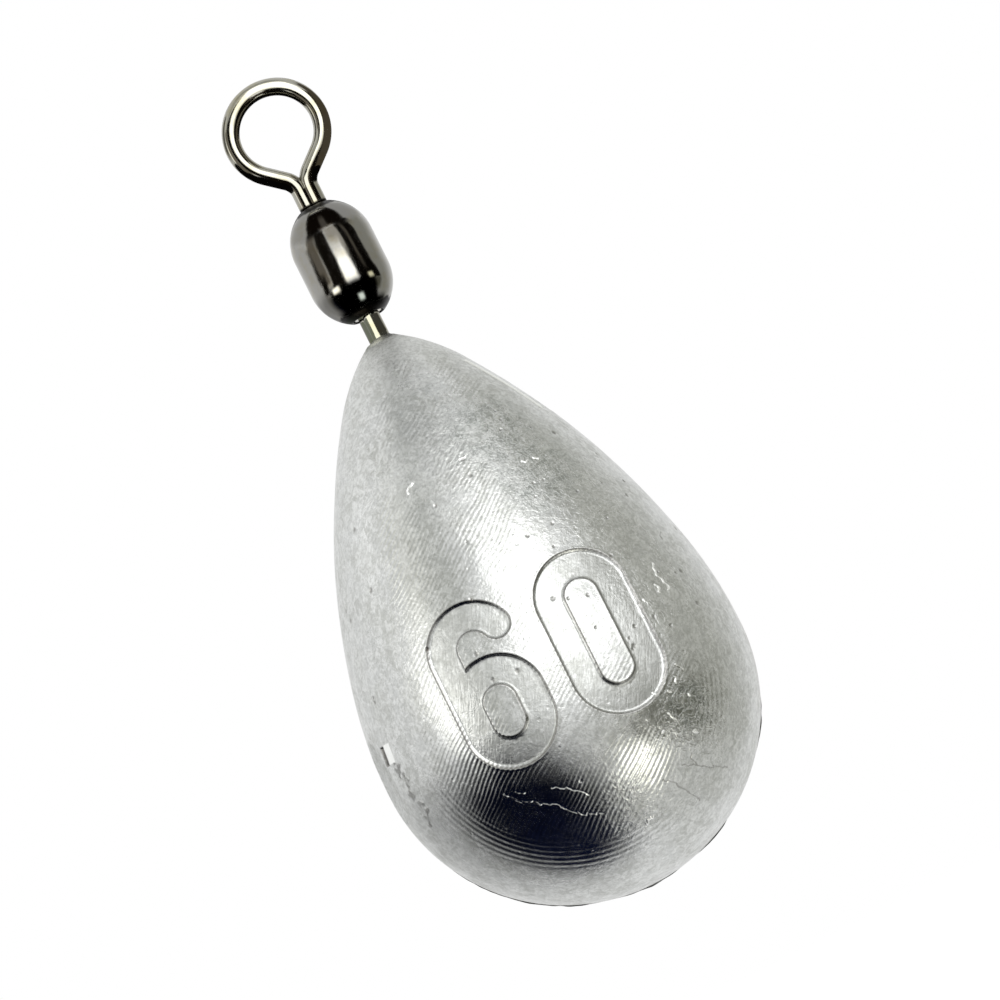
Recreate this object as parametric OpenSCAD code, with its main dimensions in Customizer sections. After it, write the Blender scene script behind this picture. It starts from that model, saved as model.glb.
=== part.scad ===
// Drop-shaped casting weight of lead, with a barrel swivel cast into its tip.
// Millimetres. +Z runs up the axis. The origin is the centre of the line eye's ring,
// so the part hangs from its origin as it does in use.

/* [Lead body] */
// Widest diameter of the lead drop
body_d = 19.3; // [17:0.1:22]
// Radius of the arc that rises from the widest point
belly_r = 22.7; // [20:0.1:28]
// Angle at which the belly arc hands over to the flank
belly_turn = 13; // [8:0.5:18]
// Radius of the long flank arc
flank_r = 36.6; // [32:0.1:42]
// Angle at which the flank hands over to the tip
flank_turn = 35; // [32:0.5:38]
// Radius of the arc that closes the tip
tip_r = 9.8; // [8:0.1:12]
// Width of the rim of lead round the neck
crown_rim = 0.06; // [0.04:0.01:0.3]

/* [Parting line] */
// Thickness of the flash left where the mould halves met
flash_t = 0.14; // [0.06:0.01:0.3]
// How far the flash stands out of the lead
flash_reach = 0.1; // [0.04:0.01:0.2]
// Depth to which the pouring gate was trimmed into the side
gate_cut = 0.19; // [0.05:0.01:0.4]
// Turn of the trimmed flat from the parting line towards the front
gate_turn = 11.5; // [0:0.5:30]

/* [Wire eyes] */
// Diameter of the wire
wire_d = 0.9; // [0.7:0.01:1]
// Diameter of the ring along the wire's centre line
ring_d = 4.62; // [4:0.02:5.2]
// Slope of the ring's straight flanks from upright
throat_turn = 49.5; // [42:0.5:56]
// Radius of the bend from flank to neck
throat_r = 1.1; // [0.8:0.02:1.4]
// Distance between the centre lines of the two pressed legs
leg_pitch = 0.55; // [0.3:0.01:0.66]
// Length of neck between the barrel and the line eye's throat
neck_len = 0.97; // [0.6:0.01:1.5]
// Length of neck between the barrel and the lead
anchor_show = 1.35; // [1.2:0.01:1.7]
// Turn of the anchor eye about the axis
anchor_turn = -66; // [-90:1:90]

/* [Swivel barrel] */
// Outer diameter of the barrel
barrel_d = 4.23; // [3.9:0.01:4.6]
// Length of the barrel's straight middle
barrel_mid = 1.9; // [1.4:0.05:4]
// Radius of the arc that closes each end of the barrel
barrel_end_r = 2.41; // [2.3:0.01:2.7]
// Wall of the barrel
barrel_wall = 0.42; // [0.3:0.01:0.48]

/* [Swivel fits] */
// Radial running clearance between a journal and its hole in the barrel
journal_clearance = 0.06; // [0.02:0.01:0.1]
// Clearance between a drawn-out head and its seat in the barrel
seat_clearance = 0.05; // [0.02:0.01:0.1]
// How far an eye slides along the barrel
end_play = 0.18; // [0.05:0.01:0.3]
// Diameter of the head upset on the end of each wire
head_d = 2.6; // [2.2:0.02:2.7]
// Thickness of the head's rim below its seat
head_t = 0.5; // [0.3:0.01:0.7]
// Stock that the round journal has outside the two legs
journal_land = 0.02; // [0.01:0.005:0.04]
// How deep the journal of a drawn-out eye starts inside its hole
journal_recess = 0.1; // [0.05:0.01:0.2]

/* [Hidden] */
$fn = 96;

wire_r = wire_d / 2;
ring_r = ring_d / 2;
leg_x = leg_pitch / 2;
// Each straight runs this far into the bends it joins
joint_lap = 0.03;
// A straight is finer than its bends by this much, so that it ends inside them
joint_ease = 0.002;
// Every cut runs past what it cuts by this much
overrun = 1;

// The flanks leave the ring as tangents and meet the throat bends as tangents
flank_top = [ring_r * cos(throat_turn), -ring_r * sin(throat_turn)];
flank_foot_x = leg_x + throat_r * (1 - cos(throat_turn));
flank_len = (flank_top.x - flank_foot_x) / sin(throat_turn);
throat_z = flank_top.y - flank_len * cos(throat_turn) - throat_r * sin(throat_turn);

// The arcs of the barrel's ends have their centres this far beyond the axis
end_arc_x = barrel_d / 2 - barrel_end_r;
journal_r = leg_x + wire_r + journal_land;
hole_r = journal_r + journal_clearance;
barrel_half = barrel_mid / 2 + end_arc_rise(barrel_end_r, hole_r);
seat_r = barrel_end_r - barrel_wall - seat_clearance;
head_rim = barrel_mid / 2 + end_arc_rise(seat_r, head_d / 2);

// The line eye is pushed in and the anchor eye is drawn out, as far as the play lets them.
// eye_reach is the distance from the barrel's middle to the ring of a drawn-out eye.
eye_reach = barrel_half + end_play + neck_len - throat_z;
barrel_z = end_play - eye_reach;
anchor_z = barrel_z - eye_reach;

// Rise of an arc of the barrel's ends, from the end of the straight middle, at a radius
function end_arc_rise(arc_r, radius) = sqrt(pow(arc_r, 2) - pow(radius - end_arc_x, 2));

// The lead's outline is a half circle below and three arcs above, each tangent to the last.
// An angle is that of the outward normal above the level.
body_r = body_d / 2;
belly_x = body_r - belly_r;
belly_end = belly_r * sin(belly_turn);
flank_x = belly_x + (belly_r - flank_r) * cos(belly_turn);
flank_z = (belly_r - flank_r) * sin(belly_turn);
flank_end = flank_z + flank_r * sin(flank_turn);
tip_x = flank_x + (flank_r - tip_r) * cos(flank_turn);
tip_z = flank_z + (flank_r - tip_r) * sin(flank_turn);
crown_r = leg_x + wire_r + crown_rim;
crown_end = tip_z + sqrt(pow(tip_r, 2) - pow(crown_r - tip_x, 2));
body_z = barrel_z - barrel_half - anchor_show - crown_end;

// A round tube along an arc of a circle in the XZ plane
module bend(centre, radius, start, turn) {
    translate([centre.x, 0, centre.y])
        rotate([90, 0, 0])
            rotate([0, 0, start])
                rotate_extrude(angle = turn)
                    translate([radius, 0])
                        circle(wire_r);
}

// A straight of wire that starts at a point of the XZ plane and leans out of the upright by turn
module straight(start, turn, length, foot_lap) {
    translate([start.x, 0, start.y])
        rotate([0, 180 + turn, 0])
            translate([0, 0, -joint_lap])
                cylinder(h = joint_lap + length + foot_lap, r = wire_r - joint_ease);
}

// One leg of the wire from the ring down to leg_end, pressed flat where it meets its twin
module leg(leg_end) {
    intersection() {
        union() {
            straight(flank_top, throat_turn, flank_len, joint_lap);
            bend([leg_x + throat_r, throat_z], throat_r, 180 - throat_turn, throat_turn);
            straight([leg_x, throat_z], 0, throat_z - leg_end, 0);
        }
        translate([0, -wire_d, leg_end])
            cube([ring_d, 2 * wire_d, -leg_end]);
    }
}

// A whole eye with its ring's centre at the origin and its head at the foot
module wire_eye() {
    leg_end = head_rim - eye_reach;
    bend([0, 0], ring_r, -throat_turn, 180 + 2 * throat_turn);
    for (side = [0, 1])
        mirror([side, 0, 0])
            leg(leg_end);
    translate([0, 0, leg_end])
        cylinder(h = barrel_half - journal_recess - head_rim, r = journal_r);
    translate([0, 0, -eye_reach])
        rotate_extrude()
            intersection() {
                translate([end_arc_x, barrel_mid / 2]) circle(seat_r);
                translate([0, head_rim - head_t]) square([head_d / 2, head_t + seat_r]);
            }
}

// The barrel's outer or inner form, closed at both ends by arcs of end_r
module barrel_form(end_r) {
    rotate_extrude() {
        translate([0, -barrel_mid / 2]) square([end_arc_x + end_r, barrel_mid]);
        for (side = [0, 1])
            mirror([0, side])
                translate([0, barrel_mid / 2])
                    intersection() {
                        translate([end_arc_x, 0]) circle(end_r);
                        square(end_r);
                    }
    }
}

// One arc of the drop's outline, cut to the heights that it spans
module outline_arc(centre, radius, low, high) {
    intersection() {
        translate(centre) circle(radius);
        translate([0, low]) square([body_d, high - low]);
    }
}

// The drop about its own widest point, grown outwards by grow
module drop(grow) {
    belly_high = belly_end + grow * sin(belly_turn);
    flank_high = flank_end + grow * sin(flank_turn);
    rotate_extrude() {
        outline_arc([0, 0], body_r + grow, -body_d, 0);
        outline_arc([belly_x, 0], belly_r + grow, 0, belly_high);
        outline_arc([flank_x, flank_z], flank_r + grow, belly_high, flank_high);
        outline_arc([tip_x, tip_z], tip_r + grow, flank_high, crown_end);
    }
}

// The flash along the parting line, which lies in the XZ plane
module flash() {
    intersection() {
        drop(flash_reach);
        cube([2 * body_d, flash_t, 4 * body_d], center = true);
    }
}

// What the trimming of the gate takes off the side at the widest point
module gate_trim() {
    rotate([0, 0, 180 + gate_turn])
        translate([body_r - gate_cut, -body_d / 2, -body_d / 2])
            cube([body_r + overrun, body_d, body_d]);
}

module line_eye() {
    color("DimGray")
        wire_eye();
}

module swivel_barrel() {
    color("SlateGray")
        translate([0, 0, barrel_z])
            difference() {
                barrel_form(barrel_end_r);
                barrel_form(barrel_end_r - barrel_wall);
                cylinder(h = 2 * (barrel_half + overrun), r = hole_r, center = true);
            }
}

module anchor_eye() {
    color("Gray")
        translate([0, 0, anchor_z])
            rotate([180, 0, anchor_turn])
                wire_eye();
}

module lead_body() {
    color("Silver")
        difference() {
            translate([0, 0, body_z])
                difference() {
                    union() {
                        drop(0);
                        flash();
                    }
                    gate_trim();
                }
            anchor_eye();
        }
}

line_eye();
swivel_barrel();
anchor_eye();
lead_body();
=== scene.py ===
"""Looks of the drop-shaped fishing sinker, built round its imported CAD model.

Lengths are in millimetres and become metres where a mesh, a lamp or the camera is made.
The sinker hangs from its line eye at the origin, and -Y is the side that the photograph shows.
"""
import random
from math import acos, cos, dist, pi, prod, radians, sin, sqrt, tan
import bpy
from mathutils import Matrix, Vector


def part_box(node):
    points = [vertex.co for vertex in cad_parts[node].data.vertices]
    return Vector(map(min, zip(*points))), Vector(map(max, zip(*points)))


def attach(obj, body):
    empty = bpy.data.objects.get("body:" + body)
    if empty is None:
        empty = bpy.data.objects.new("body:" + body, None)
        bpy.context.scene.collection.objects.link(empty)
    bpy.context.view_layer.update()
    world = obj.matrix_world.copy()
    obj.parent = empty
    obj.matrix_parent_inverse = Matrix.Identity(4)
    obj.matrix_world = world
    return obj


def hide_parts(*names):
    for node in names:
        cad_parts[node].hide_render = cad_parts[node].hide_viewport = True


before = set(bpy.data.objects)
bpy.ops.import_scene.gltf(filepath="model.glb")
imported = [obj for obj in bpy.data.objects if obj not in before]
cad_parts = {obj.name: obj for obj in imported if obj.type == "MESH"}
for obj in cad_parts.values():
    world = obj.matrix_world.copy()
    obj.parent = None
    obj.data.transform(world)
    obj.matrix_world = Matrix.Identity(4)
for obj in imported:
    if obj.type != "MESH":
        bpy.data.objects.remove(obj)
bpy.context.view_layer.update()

from types import SimpleNamespace

import bmesh
import bpy
import numpy as np
from mathutils import Matrix, Vector, noise

MM = 0.001

# ---- sizes that the frame gives ----


def box_mm(node):
    """Lowest and highest corner of a CAD node in millimetres."""
    return [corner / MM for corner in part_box(node)]


LEAD_LOW, LEAD_HIGH = box_mm("lead_body")
BARREL_LOW, BARREL_HIGH = box_mm("swivel_barrel")
EYE_LOW, EYE_HIGH = box_mm("line_eye")
ANCHOR_LOW = box_mm("anchor_eye")[0]

# ---- sizes of the wire eyes and the barrel ----

WIRE_R = 0.45
RING_R = EYE_HIGH.z - WIRE_R
THROAT_TURN = radians(49.5)
THROAT_R = 1.1
LEG_X = 0.275
ANCHOR_TURN = radians(-66)
HEAD_R = 1.3
HEAD_T = 0.5
JOURNAL_R = 0.745
JOURNAL_TOP = 0.1
HOLE_R = 0.805
SEAT_CLEARANCE = 0.05

BARREL_R = BARREL_HIGH.x
BARREL_Z = (BARREL_LOW.z + BARREL_HIGH.z) / 2
BARREL_HALF = (BARREL_HIGH.z - BARREL_LOW.z) / 2
BARREL_MID = 1.9
BARREL_END_R = 2.41
BARREL_WALL = 0.42
BARREL_LIP = 0.09
BARREL_SIDES = 128
HEAD_SIDES = 96
# Edges of the plated pieces that are sharper than this stay crisp
PLATED_SHARP = radians(38)

# ---- sizes of the lead drop ----

BODY_R = LEAD_HIGH.y
BELLY_R, BELLY_TURN = 22.7, radians(13)
FLANK_R, FLANK_TURN = 36.6, radians(35)
TIP_R = 9.8
CROWN_R = LEG_X + WIRE_R + 0.06
BELLY_X = BODY_R - BELLY_R
FLANK_X = BELLY_X + (BELLY_R - FLANK_R) * cos(BELLY_TURN)
FLANK_Z = (BELLY_R - FLANK_R) * sin(BELLY_TURN)
TIP_X = FLANK_X + (FLANK_R - TIP_R) * cos(FLANK_TURN)
TIP_Z = FLANK_Z + (FLANK_R - TIP_R) * sin(FLANK_TURN)
TIP_TURN = acos((CROWN_R - TIP_X) / TIP_R)
CROWN_END = TIP_Z + TIP_R * sin(TIP_TURN)
BODY_Z = LEAD_HIGH.z - CROWN_END

# Each arc of the drop's outline: centre x and z, radius, and its first and last angle
OUTLINE = [
    (0, 0, BODY_R, -pi / 2, 0),
    (BELLY_X, 0, BELLY_R, 0, BELLY_TURN),
    (FLANK_X, FLANK_Z, FLANK_R, BELLY_TURN, FLANK_TURN),
    (TIP_X, TIP_Z, TIP_R, FLANK_TURN, TIP_TURN),
]
OUTLINE_LEN = sum(radius * (last - first) for _, _, radius, first, last in OUTLINE)

FLASH_T = 0.14
FLASH_REACH = 0.1
FLASH_ROOT = 0.12
FLASH_STEP = 0.12
# Where the flash still stands out: angles from the widest point, and how far each stretch goes
FLASH_LEFT = tuple(
    (radians(at), width)
    for at, width in ((-30, 0.13), (-67, 0.1), (-90, 0.16), (-118, 0.16), (-138, 0.2))
)
FLASH_SHARP = radians(30)
GATE_CUT = 0.19
GATE_TURN = radians(180 + 11.5)

# ---- marks on the lead ----

# The weight number: places from the widest point, sizes of its figures and of the sunk floor
NUMBER_X, NUMBER_Z = 0.35, 2.0
FIGURE_HALF_W, FIGURE_HALF_H = 1.55, 3.45
FIGURE_PITCH = 5.7
STROKE = 1.5
SINK = 0.13
SINK_WALL = 0.15
# The thin lip round the figures: its height, and where it is and how wide
LIP_HEIGHT, LIP_AT, LIP_W = 0.012, 0.05, 0.05
# The loop of the 6 rises this far above its bottom bend, and its top arm ends at this angle
LOOP_RISE = 0.95
ARM_END = radians(22)

# The small notch at the lower end of the trimmed gate
NOTCH_X, NOTCH_Z = -8.8, 1.55
NOTCH_HALF_LEN, NOTCH_HALF_W, NOTCH_DEPTH = 0.5, 0.1, 0.16
NOTCH_LEAN = radians(6)
# The sheared face beside the notch, bright as bare metal and painted brighter still as a highlight
SHEAR_X, SHEAR_HALF_W = -8.52, 0.17
# The thin ridge beside the parting line, high on the other side
RIDGE_LOW, RIDGE_HIGH = 13.6, 17.4
RIDGE_INSET, RIDGE_HALF_W, RIDGE_HEIGHT = 0.3, 0.07, 0.06
STEP_DEPTH = 0.05

# Lines on the front, as places (x, z) from the widest point: cold seams and nicks, which are light as bare
# metal and painted highlight, cracks, which are darkened with painted shade, and the torn edge that the gate
# left
COLD_SEAMS = (
    ((-4.3, -2.75), (-3.8, -3.6), (-2.55, -4.2), (-1.85, -4.95), (-0.45, -5.85)),
    ((-3.7, -3.1), (-3.3, -3.35)),
    ((-2.1, -3.7), (-1.3, -3.95), (-0.7, -4.75)),
)
NICKS = (
    ((4.4, -2.9), (4.55, -3.2)),
    ((5.1, -4.15), (5.25, -4.4)),
    ((6.5, 2.9), (6.65, 2.35)),
    ((5.75, 2.5), (5.85, 2.25)),
    ((5.8, -0.95), (5.95, -1.25)),
    ((1.0, -7.1), (1.5, -6.8)),
    ((4.9, -2.0), (5.0, -2.1)),
    ((5.3, -1.6), (5.35, -1.85)),
    ((4.2, -1.75), (4.3, -1.8)),
    ((5.6, -2.5), (5.65, -2.6)),
    ((3.7, -3.6), (3.8, -3.65)),
    ((6.84, 3.9), (6.95, 3.1), (7.04, 2.4)),
    ((-2.05, 12.1), (-1.7, 12.6)),
    ((0.85, 12.5), (1.15, 12.55)),
    ((4.1, 11.15), (4.3, 11.0)),
    ((3.55, 11.1), (3.8, 11.0)),
)
CRACKS = (
    ((3.85, -5.45), (4.55, -5.55), (5.0, -6.05), (5.75, -6.3)),
    ((2.75, -5.55), (3.25, -5.9), (3.5, -6.6), (3.85, -7.25)),
    ((4.45, -5.0), (4.55, -5.55)),
    ((7.85, 4.9), (8.05, 5.2)),
)
TEAR = (((-8.5, 1.0), (-8.3, 0.2), (-8.4, -0.55), (-8.15, -1.65), (-8.25, -2.4)),)
SEAM_DEPTH, SEAM_HALF_W = 0.025, 0.044
NICK_HEIGHT, NICK_HALF_W = 0.032, 0.058
CRACK_HALF_W = 0.035
TEAR_HALF_W = 0.16
# Patches of the front where the skin is frosted, where it is dull and curled, and where the cutter's marks are
# clean: x, z and reach
FROSTED = (
    (5.0, 8.6, 3.0), (2.6, 12.8, 2.4), (6.4, 3.0, 2.4),
    (5.6, -3.6, 2.0), (-3.4, 13.0, 1.2), (0.8, -6.1, 1.5),
)
DULL = ((2.7, 13.2, 1.9), (3.9, 10.3, 1.9), (5.4, -3.0, 1.1))
CLEAN = (
    (-3.1, -4.4, 3.4), (-4.6, 0.6, 2.2), (-2.8, 8.4, 2.2),
    (2.4, -4.6, 1.6), (-3.3, 11.2, 1.4), (-1.3, 15.7, 1.6),
)

PIT_SEED = 60
PIT_COUNT = 70
PIT_CLUSTER = (-1.15, 0.45)
PIT_HEIGHTS = (0.5, 15)
PIT_SIZE = (0.09, 0.2)
PIT_DEPTH = 0.035
# The elongated blowhole at the left: angle, and the height and size of its two parts
BLOWHOLE_TURN = radians(-150)
BLOWHOLE_PARTS = ((4.3, 0.14), (4.05, 0.15))
# How far the lead climbs the neck, and over what width it rises to it
WICK, WICK_W = 0.14, 0.09

GRID_STEP = 0.26
# The mesh is halved once within each of these distances of a detail
FINER_WITHIN = (0.42, 0.2, 0.1)
FIELDS = ("rim", "floor", "torn", "grime", "bare")
# The mesh closes at the back
BACK = pi / 2
# Stands for a mark that is nowhere near
AWAY = 9.0
# Shifts one noise away from another
FAR = 40
TURN = 2 * pi
SWELL = 0.022
SWELL_LEN = 4.6
DIMPLE = 0.006
DIMPLE_LEN = 1.5

# ---- photograph ----

PHOTO_SIDE = 1000
PX = 0.0494
PHOTO_LEAN = radians(26.6)
CAMERA_DISTANCE = 220
CAMERA_ELEVATION = radians(-6.5)
LOOK_AT = Vector((1.75, 0, -21.57))
SENSOR = 36

TOWARD = Vector((0, -cos(CAMERA_ELEVATION), sin(CAMERA_ELEVATION)))
UPRIGHT = Vector((0, sin(CAMERA_ELEVATION), cos(CAMERA_ELEVATION)))
PHOTO_UP = UPRIGHT * cos(PHOTO_LEAN) + Vector((1, 0, 0)) * sin(PHOTO_LEAN)
PHOTO_RIGHT = Vector((1, 0, 0)) * cos(PHOTO_LEAN) - UPRIGHT * sin(PHOTO_LEAN)

# ---- studio ----

STUDIO_R = 400
FLOOR_Z = LEAD_LOW.z - 12
FLOOR_R, FLOOR_SIDES = 900, 64
CARD_STEP, CARD_CELLS = 4, 28
# Brightness of the white surroundings for what they light; they look white themselves
ROOM_LEVEL = 0.8
# What the floor adds for the camera alone
FLOOR_LIFT = 0.3
WHITE, BROWN = (1, 1, 1), (1, 0.8, 0.6)
# Soft-edged cards all round the sinker, which only the metal mirrors, the nearest first. Name, ranges of
# azimuth from the front and of elevation in degrees, the width of their faded edges (of all four, or at
# the start and end of both ranges), tone and strength
CARDS = (
    ("glow_key", (-12, 45), (1, 49), 13, (1, 1, 0.99), 3.0),
    ("glow_side", (20, 64), (3, 27), 11, (1, 1, 0.99), 2.2),
    ("glow_low", (22, 56), (-64, -36), 11, (1, 0.985, 0.88), 2.9),
    ("glow_back_left", (-124, -88), (22, 48), 12, WHITE, 1.3),
    ("tan_left", (-80, -50), (2, 58), 11, (1, 0.998, 0.94), 1.0),
    ("card_right_low", (26, 102), (-42, -5), 13, (1, 0.99, 0.74), 0.14),
    ("card_right", (58, 150), (-48, 62), (17, 45, 17, 17), (1, 1, 0.92), 0.55),
    ("card_left", (-54, -21), (-8, 68), 11, (0.99, 1, 0.96), 0.7),
    ("card_left_low", (-168, -72), (-64, 8), (45, 17, 17, 17), WHITE, 0.5),
    ("card_top", (-80, 80), (56, 88), 13, (0.99, 1, 0.98), 0.6),
    ("card_under", (-12, 146), (-89, -6), 13, (1, 1, 0.97), 0.72),
)
# Round cards before them: name, azimuth and elevation of the middle, the angles from it at which the
# card starts to fade and ends, tone and strength
ROUND_CARDS = (
    ("glow_left", (-62, 15), (6, 20), (1, 0.99, 0.96), 2.5),
    ("dark_patch", (-57, -43), (26, 54), (0.2, 0.3, 1.0), 0.01),
    ("dark_under", (-92, -70), (12, 33), (0.2, 0.3, 1.0), 0.02),
)
# Cards that only the swivel mirrors: parts of cones close round the sinker's axis that are clear from the
# lead's side. They stage the photograph's reflections and are no part of the object. Name, height of the
# tip, slope in degrees, ranges of azimuth from the front in degrees and of distance, the widths of the
# faded sides, inner and outer edge, tone and strength
SWIVEL_CARDS = (
    ("glint_left", -12.26, 40, (-47, -24), (3.2, 4.1), (7, 0.35, 0.35), (1, 0.98, 0.9), 4.0),
    ("glint_right", -12.26, 40, (37, 54), (3.25, 4.1), (6, 0.35, 0.35), (1, 0.96, 0.7), 1.8),
    ("glint_low", -12.26, 40, (-2, 17), (1.85, 2.6), (7, 0.3, 0.3), (0.9, 1, 0.95), 2.2),
    ("glow_neck", -22.26, 84, (-42, 3), (1.1, 1.25), (6, 0, 0), (1, 1, 0.86), 2.8),
    ("dark_neck", -22.3, 84, (0, 75), (1.1, 1.25), (5, 0, 0), (1, 1, 0.9), 0.1),
    ("pale_neck", -22.3, 84, (-115, -38), (1.1, 1.25), (8, 0, 0), (0.9, 1, 0.85), 0.4),
    ("glow_throat", -14.96, 84, (-26, 20), (1.15, 1.34), (5, 0, 0), (1, 1, 0.95), 2.8),
    ("glow_swivel", -12.3, 40, (-9, 21), (3.45, 9.0), (5, 1.1, 3.5), (1, 1, 0.98), 4.0),
    ("veil_swivel", -12.33, 40, (-8, 30), (6, 60), (4, 2, 5), (1, 0.96, 0.88), 0.85),
    ("line_left", -12.35, 40, (-68, -47), (3.7, 6.6), (6, 0.3, 1), BROWN, 0.01),
    ("line_left_high", -12.355, 40, (-75, -58), (5.2, 11), (6, 1, 5), BROWN, 0.03),
    ("stripe_left", -12.36, 40, (-72, -34), (3.4, 60), (10, 0.4, 5), (1, 0.9, 0.76), 0.28),
    ("stripe_right", -12.36, 40, (39, 49), (4.5, 60), (4, 1, 5), (1, 0.9, 0.75), 0.16),
    ("dark_skirt", -12.38, 40, (-56, 56), (1.2, 4.0), (6, 0, 0.25), WHITE, 0.0),
    ("dark_foot", -12.39, 40, (-92, 92), (1.2, 2.4), (12, 0, 0.6), WHITE, 0.0),
    ("dark_left", -12.4, 40, (-40, -7), (3.4, 60), (4, 0, 5), BROWN, 0.012),
    ("dark_right", -12.4, 40, (20, 70), (3.4, 60), (4, 0, 5), BROWN, 0.006),
    ("pale_rim", -12.41, 40, (-168, -91), (0.9, 5.2), (26, 0.1, 1.8), WHITE, 0.45),
    ("back_glow", -12.36, 40, (174, 187), (3.6, 12), (4, 1, 5), WHITE, 2.6),
    ("back_dark_left", -12.38, 40, (160, 176), (2.6, 60), (5, 1, 5), (1, 0.9, 0.8), 0.05),
    ("back_dark_right", -12.38, 40, (185, 200), (2.6, 60), (5, 1, 5), (1, 0.9, 0.8), 0.05),
    ("dark_arc_left", -12.5, 66, (-50, -7), (2.95, 4.6), (8, 0.6, 0), BROWN, 0.01),
    ("dark_arc_right", -12.5, 66, (16, 61), (2.95, 4.6), (9, 0.6, 0), BROWN, 0.01),
    ("dark_arc", -12.52, 66, (-12, 24), (3.15, 4.6), (0, 0.6, 0), BROWN, 0.15),
    ("roof_veil", -4.12, 0, (-9, 13), (1.7, 3.8), (7, 0.9, 0.2), (1, 0.9, 0.8), 0.16),
    ("roof_left", -4.12, 0, (-150, -44), (1.05, 6), (10, 0.1, 2.4), WHITE, 0.8),
    ("roof_right", -4.12, 0, (51, 150), (1.05, 6), (10, 0.1, 2.4), WHITE, 0.7),
    ("roof_dark", -4.1, 0, (-54, 64), (1.36, 3.8), (11, 0.12, 0.3), (1, 0.7, 0.5), 0.01),
    ("ring_glow", -12.4, 55, (-12, 38), (7.2, 60), (5, 0.5, 9), (1, 1, 0.97), 3.4),
    ("ring_rim", -12.4, 55, (-118, -74), (8.4, 60), (8, 1.5, 8), (1, 0.97, 0.92), 0.22),
    ("ring_right", -4.6, 50, (56, 126), (1.5, 60), (12, 0, 5), (1, 0.85, 0.65), 0.13),
    ("ring_glint", -4.02, 3, (-8, 8), (4.5, 12), (3, 1, 3), WHITE, 1.8),
    ("ring_glint_left", -4.02, 3, (-50, -30), (7, 16), (6, 2, 3), WHITE, 1.3),
    ("ring_floor", -4.05, 3, (-180, 180), (1, 60), (0, 0, 5), (1, 0.9, 0.8), 0.004),
)
# How much of a roof's turn is taken off at 1 mm from the axis; it falls with the square of the distance
ROOF_TAPER = 0.85
# The lamp that lights the floor: tilt from the camera and turn clockwise from the photograph's up, then
# width and height, all in degrees, and brightness
LAMP_AT, LAMP_SIZE, LAMP_LEVEL = (28, 5), (44, 36), 3.0

# ---- materials ----


class Recipe:
    """A material's node tree, with one short call for each node."""

    def __init__(self, name):
        self.material = bpy.data.materials.new(name)
        self.material.use_nodes = True
        self.tree = self.material.node_tree
        self.shader = self.tree.nodes["Principled BSDF"]

    def set(self, **values):
        """Sets or links the shader's own sockets; an underscore stands for a space."""
        for key, value in values.items():
            self.join(self.shader.inputs[key.replace("_", " ")], value)

    def join(self, socket, value):
        if isinstance(value, bpy.types.NodeSocket):
            self.tree.links.new(value, socket)
        else:
            socket.default_value = value

    def put(self, kind, *values, out=0, **settings):
        """Adds a node, fills its inputs in order and returns one output, or none where it has none. None as a
        value leaves an input as it is."""
        node = self.tree.nodes.new("ShaderNode" + kind)
        for key, value in settings.items():
            setattr(node, key, value)
        for socket, value in zip(node.inputs, values):
            if value is not None:
                self.join(socket, value)
        return None if out is None else node.outputs[out]

    def maths(self, operation, *values, clamp=False):
        return self.put("Math", *values, operation=operation, use_clamp=clamp)

    def product(self, first, *others):
        for other in others:
            first = self.maths("MULTIPLY", first, other)
        return first

    def height(self, where):
        return self.put("SeparateXYZ", where, out=2)

    def place(self):
        """The point of the surface in millimetres."""
        where = self.put("TexCoord", out=3)
        return self.put("VectorMath", where, None, None, 1 / MM, operation="SCALE")

    def attribute(self, name):
        return self.put("Attribute", attribute_name=name, out=2)

    def noise(self, where, scale, detail=2.0, roughness=0.5, twist=0.0):
        return self.put("TexNoise", where, None, scale, detail, roughness, None, None, None, twist)

    def creases(self, where, *settings):
        """How far a noise is from its middle, which is least along winding lines."""
        return self.maths("ABSOLUTE", self.maths("SUBTRACT", self.noise(where, *settings), 0.5))

    def ramp(self, value, low, high, to_low=0.0, to_high=1.0):
        """Smoothly maps low..high to to_low..to_high."""
        return self.put("MapRange", value, low, high, to_low, to_high, interpolation_type="SMOOTHSTEP")

    def near(self, where, patches):
        """1 inside some patches (x, height from the widest point, reach) and 0 well outside them."""
        flat = self.put("VectorMath", where, (1, 0, 1), operation="MULTIPLY")
        most = 0.0
        for x, z, reach in patches:
            gap = self.put("VectorMath", flat, (x, 0, z + BODY_Z), operation="DISTANCE", out=1)
            most = self.maths("MAXIMUM", most, self.ramp(gap, reach * 1.35, reach * 0.65))
        return most

    def total(self, first, *parts):
        """Adds parts of the form (share, amount) to a value."""
        for share, amount in parts:
            first = self.maths("MULTIPLY_ADD", share, amount, first)
        return first

    def blend(self, share, one, other):
        """Mixes two colours."""
        node = self.tree.nodes.new("ShaderNodeMix")
        node.data_type = "RGBA"
        self.join(node.inputs[0], share)
        self.join(node.inputs[6], one)
        self.join(node.inputs[7], other)
        return node.outputs[2]

    def bump(self, height, normal=None):
        """Bump from a height in millimetres."""
        node = self.tree.nodes.new("ShaderNodeBump")
        node.inputs["Distance"].default_value = MM
        self.join(node.inputs["Height"], height)
        if normal is not None:
            self.join(node.inputs["Normal"], normal)
        return node.outputs[0]


def colour(red, green, blue):
    return (red, green, blue, 1)


CUTTER_PITCH = 0.213
CUTTER_DIRECTION = (-0.608, 0.794)
CUTTER_HEIGHT = 0.003
CONTOUR_PITCH = 0.223
CONTOUR_HEIGHT = 0.0042


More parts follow.
